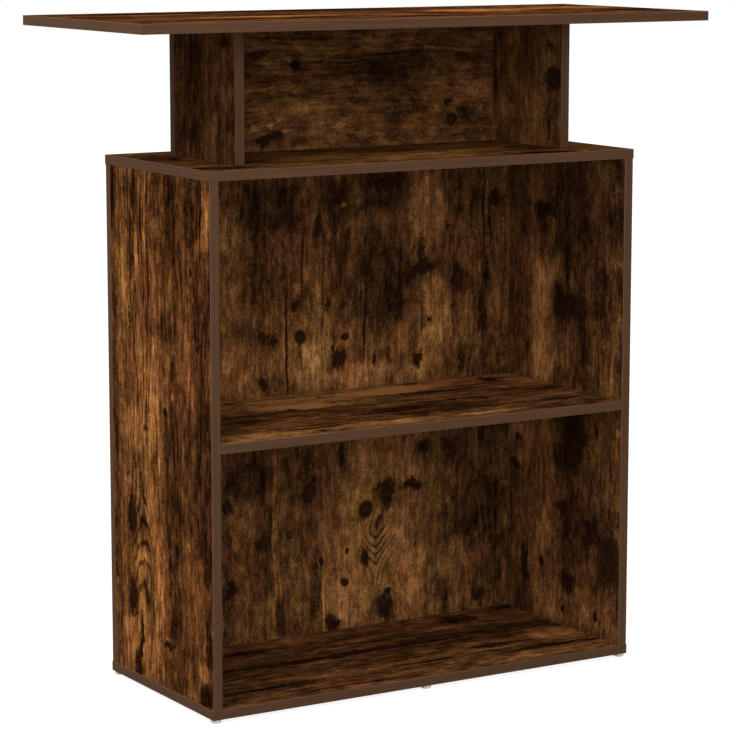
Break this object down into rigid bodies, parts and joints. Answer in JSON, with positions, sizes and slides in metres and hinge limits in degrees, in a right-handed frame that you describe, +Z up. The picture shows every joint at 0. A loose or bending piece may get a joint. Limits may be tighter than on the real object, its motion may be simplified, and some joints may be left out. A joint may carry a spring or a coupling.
{
  "type": "reception desk",
  "caption": "Free-standing reception desk in dark wood-decor board: an open shelved cabinet, a set-back niche between short uprights, and an overhanging counter.",
  "frame": {"origin": "on the floor, under the middle of the counter", "axes": "+Z up, +X to the right of someone who faces the open shelves, +Y towards the closed side"},
  "size_m": [1, 0.4, 1.04],
  "materials": {
    "smoked_oak_melamine": "satin printed melamine",
    "brown_edge_band": "matt",
    "decor_cap_film": "matt printed film",
    "beech_dowel": "grooved, unfinished",
    "zinc_cam": "die cast",
    "zinc_plated_steel": "bright plated",
    "grey_white_polymer": "moulded"
  },
  "bodies": {
    "root": {"counter_top": "smoked_oak_melamine", "cabinet_top": "smoked_oak_melamine", "base_panel": "smoked_oak_melamine", "left_side": "smoked_oak_melamine", "right_side": "smoked_oak_melamine", "back_panel": "smoked_oak_melamine", "middle_shelf": "smoked_oak_melamine", "left_riser": "smoked_oak_melamine", "right_riser": "smoked_oak_melamine", "riser_back": "smoked_oak_melamine", "counter_top_edging": "brown_edge_band", "cabinet_top_edging": "brown_edge_band", "base_panel_edging": "brown_edge_band", "left_side_edging": "brown_edge_band", "right_side_edging": "brown_edge_band", "back_panel_edging": "brown_edge_band", "middle_shelf_edging": "brown_edge_band", "left_riser_edging": "brown_edge_band", "right_riser_edging": "brown_edge_band", "riser_back_edging": "brown_edge_band", "left_side_cam_caps": "decor_cap_film", "right_side_cam_caps": "decor_cap_film", "middle_shelf_cam_caps": "decor_cap_film", "left_riser_cam_caps": "decor_cap_film", "right_riser_cam_caps": "decor_cap_film", "cabinet_top_dowels": "beech_dowel", "base_dowels": "beech_dowel", "shelf_dowels": "beech_dowel", "back_panel_dowels": "beech_dowel", "riser_back_dowels": "beech_dowel", "counter_dowels": "beech_dowel", "cabinet_top_cams": "zinc_cam", "shelf_cams": "zinc_cam", "back_panel_cams": "zinc_cam", "riser_back_cams": "zinc_cam", "counter_cams": "zinc_cam", "cabinet_top_cam_bolts": "zinc_plated_steel", "shelf_cam_bolts": "zinc_plated_steel", "back_panel_cam_bolts": "zinc_plated_steel", "riser_back_cam_bolts": "zinc_plated_steel", "counter_cam_bolts": "zinc_plated_steel", "base_screws": "zinc_plated_steel", "riser_screws": "zinc_plated_steel", "glide_nails": "zinc_plated_steel", "foot_glides": "grey_white_polymer"}
  },
  "joints": []
}
